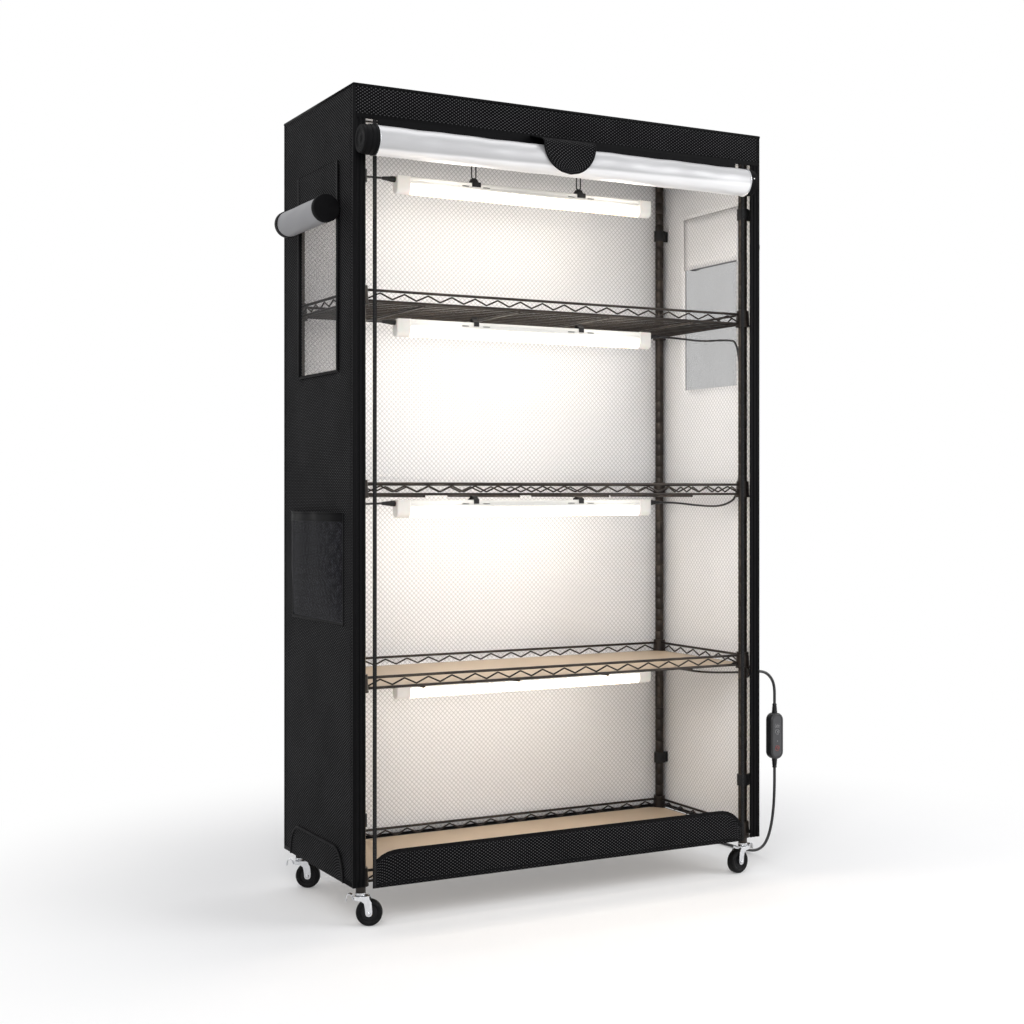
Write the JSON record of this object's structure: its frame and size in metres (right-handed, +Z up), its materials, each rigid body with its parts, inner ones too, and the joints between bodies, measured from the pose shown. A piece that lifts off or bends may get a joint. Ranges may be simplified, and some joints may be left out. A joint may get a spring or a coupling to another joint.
{
  "type": "indoor greenhouse cabinet",
  "caption": "Wheeled wire-shelf greenhouse cabinet under a black fabric cover, with its door rolled up, side windows, a tool pocket, tube grow lamps and an inline controller.",
  "frame": {"origin": "on the floor under the middle of the cabinet's overall width and depth, without the mains cord", "axes": "+Z up, +X to the right as seen from the front, +Y to the back"},
  "size_m": [1.0785, 0.6144, 1.5676],
  "materials": {
    "cover_fabric": "coated oxford weave",
    "door_film": "silvery white film",
    "flap_film": "grey film",
    "binding": "bound edge",
    "zip_tape": "woven tape",
    "net": "fine net",
    "webbing": "webbing",
    "coated_steel": "powder coat",
    "black_plastic": "moulded",
    "liner_plastic": "matte sheet",
    "lamp_shell": "white enamel",
    "lamp_lens": "clear tube",
    "lamp_cap": "translucent white",
    "led_board": "lit board",
    "cord_jacket": "smooth jacket",
    "controller_plastic": "fine texture",
    "red_button": "glossy",
    "plated_steel": "bright zinc",
    "castor_tyre": "moulded"
  },
  "bodies": {
    "cabinet": {"bottom_shelf": "coated_steel", "cable_grommet": "cord_jacket", "castor_stems": "plated_steel", "controller_boots": "cord_jacket", "controller_case": "controller_plastic", "cover_back": "cover_fabric", "cover_left": "cover_fabric", "cover_right": "cover_fabric", "cover_ties": "webbing", "cover_top": "cover_fabric", "door_roll": "door_film", "door_roll_bands": "binding", "front_borders": "cover_fabric", "front_header": "cover_fabric", "front_threshold": "cover_fabric", "lamp_boards": "led_board", "lamp_clips": "black_plastic", "lamp_end_caps": "lamp_cap", "lamp_housings": "lamp_shell", "lamp_leads": "cord_jacket", "lamp_tubes": "lamp_lens", "lead_plugs": "cord_jacket", "link_lead_top": "cord_jacket", "lower_shelf": "coated_steel", "mains_coil": "cord_jacket", "mains_cord_lower": "cord_jacket", "mains_cord_upper": "cord_jacket", "mains_plug": "cord_jacket", "middle_shelf": "coated_steel", "post_caps": "black_plastic", "posts": "coated_steel", "shelf_liners": "liner_plastic", "side_vent_flaps": "cover_fabric", "tool_pocket": "net", "top_shelf": "coated_steel", "upper_shelf": "coated_steel", "window_flaps": "flap_film", "window_nets": "net", "zipper_tapes": "zip_tape"},
    "castor_front_left": {"castor_fork_front_left": "plated_steel"},
    "wheel_front_left": {"castor_wheel_front_left": "castor_tyre"},
    "brake_front_left": {"castor_brake_front_left": "plated_steel"},
    "castor_front_right": {"castor_fork_front_right": "plated_steel"},
    "wheel_front_right": {"castor_wheel_front_right": "castor_tyre"},
    "brake_front_right": {"castor_brake_front_right": "plated_steel"},
    "castor_rear_left": {"castor_fork_rear_left": "plated_steel"},
    "wheel_rear_left": {"castor_wheel_rear_left": "castor_tyre"},
    "brake_rear_left": {"castor_brake_rear_left": "plated_steel"},
    "castor_rear_right": {"castor_fork_rear_right": "plated_steel"},
    "wheel_rear_right": {"castor_wheel_rear_right": "castor_tyre"},
    "brake_rear_right": {"castor_brake_rear_right": "plated_steel"},
    "top_lamp": {"top_lamp_housing": "lamp_shell", "top_lamp_tube": "lamp_lens", "top_lamp_board": "led_board", "top_lamp_end_caps": "lamp_cap", "top_lamp_hangers": "black_plastic", "top_lamp_plug": "cord_jacket"},
    "keeper": {"roll_keeper": "cover_fabric"},
    "timer_button": {"timer_button": "controller_plastic"},
    "power_button": {"power_button": "red_button"}
  },
  "joints": [
    {"name": "swivel_front_left", "type": "hinge", "parent": "cabinet", "child": "castor_front_left", "pos_m": [-0.44, -0.1298, 0.054], "axis": [0, 0, 1], "continuous": true},
    {"name": "roll_front_left", "type": "hinge", "parent": "castor_front_left", "child": "wheel_front_left", "pos_m": [-0.4259, -0.13736, 0.025], "axis": [0.4726, 0.8813, 0], "continuous": true},
    {"name": "brake_pivot_front_left", "type": "hinge", "parent": "castor_front_left", "child": "brake_front_left", "pos_m": [-0.44749, -0.12578, 0.0488], "axis": [-0.4726, -0.8813, 0], "range_deg": [0, 6]},
    {"name": "swivel_front_right", "type": "hinge", "parent": "cabinet", "child": "castor_front_right", "pos_m": [0.44, -0.1298, 0.054], "axis": [0, 0, 1], "continuous": true},
    {"name": "roll_front_right", "type": "hinge", "parent": "castor_front_right", "child": "wheel_front_right", "pos_m": [0.42434, -0.13307, 0.025], "axis": [0.2045, -0.9789, 0], "continuous": true},
    {"name": "brake_pivot_front_right", "type": "hinge", "parent": "castor_front_right", "child": "brake_front_right", "pos_m": [0.44832, -0.12806, 0.0488], "axis": [-0.2045, 0.9789, 0], "range_deg": [0, 6]},
    {"name": "swivel_rear_left", "type": "hinge", "parent": "cabinet", "child": "castor_rear_left", "pos_m": [-0.44, 0.1902, 0.054], "axis": [0, 0, 1], "continuous": true},
    {"name": "roll_rear_left", "type": "hinge", "parent": "castor_rear_left", "child": "wheel_rear_left", "pos_m": [-0.4259, 0.18264, 0.025], "axis": [0.4726, 0.8813, 0], "continuous": true},
    {"name": "brake_pivot_rear_left", "type": "hinge", "parent": "castor_rear_left", "child": "brake_rear_left", "pos_m": [-0.44749, 0.19422, 0.0488], "axis": [-0.4726, -0.8813, 0], "range_deg": [0, 6]},
    {"name": "swivel_rear_right", "type": "hinge", "parent": "cabinet", "child": "castor_rear_right", "pos_m": [0.44, 0.1902, 0.054], "axis": [0, 0, 1], "continuous": true},
    {"name": "roll_rear_right", "type": "hinge", "parent": "castor_rear_right", "child": "wheel_rear_right", "pos_m": [0.44751, 0.20433, 0.025], "axis": [-0.8829, 0.4695, 0], "continuous": true},
    {"name": "brake_pivot_rear_right", "type": "hinge", "parent": "castor_rear_right", "child": "brake_rear_right", "pos_m": [0.43601, 0.18269, 0.0488], "axis": [0.8829, -0.4695, 0], "range_deg": [0, 6]},
    {"name": "top_lamp_swing", "type": "hinge", "parent": "cabinet", "child": "top_lamp", "pos_m": [0, 0.0302, 1.5323], "axis": [1, 0, 0], "range_deg": [-12, 12], "deforming": ["link_lead_top"]},
    {"name": "keeper_lift", "type": "hinge", "parent": "cabinet", "child": "keeper", "pos_m": [-0.035, -0.156, 1.5093], "axis": [-1, 0, 0], "range_deg": [0, 75]},
    {"name": "timer_button_press", "type": "slide", "parent": "cabinet", "child": "timer_button", "axis": [0, 1, 0], "range_m": [0, 0.0008], "stiffness_N_per_m": 400, "springref_m": -0.0005},
    {"name": "power_button_press", "type": "slide", "parent": "cabinet", "child": "power_button", "axis": [0, 1, 0], "range_m": [0, 0.0008], "stiffness_N_per_m": 400, "springref_m": -0.0005}
  ]
}
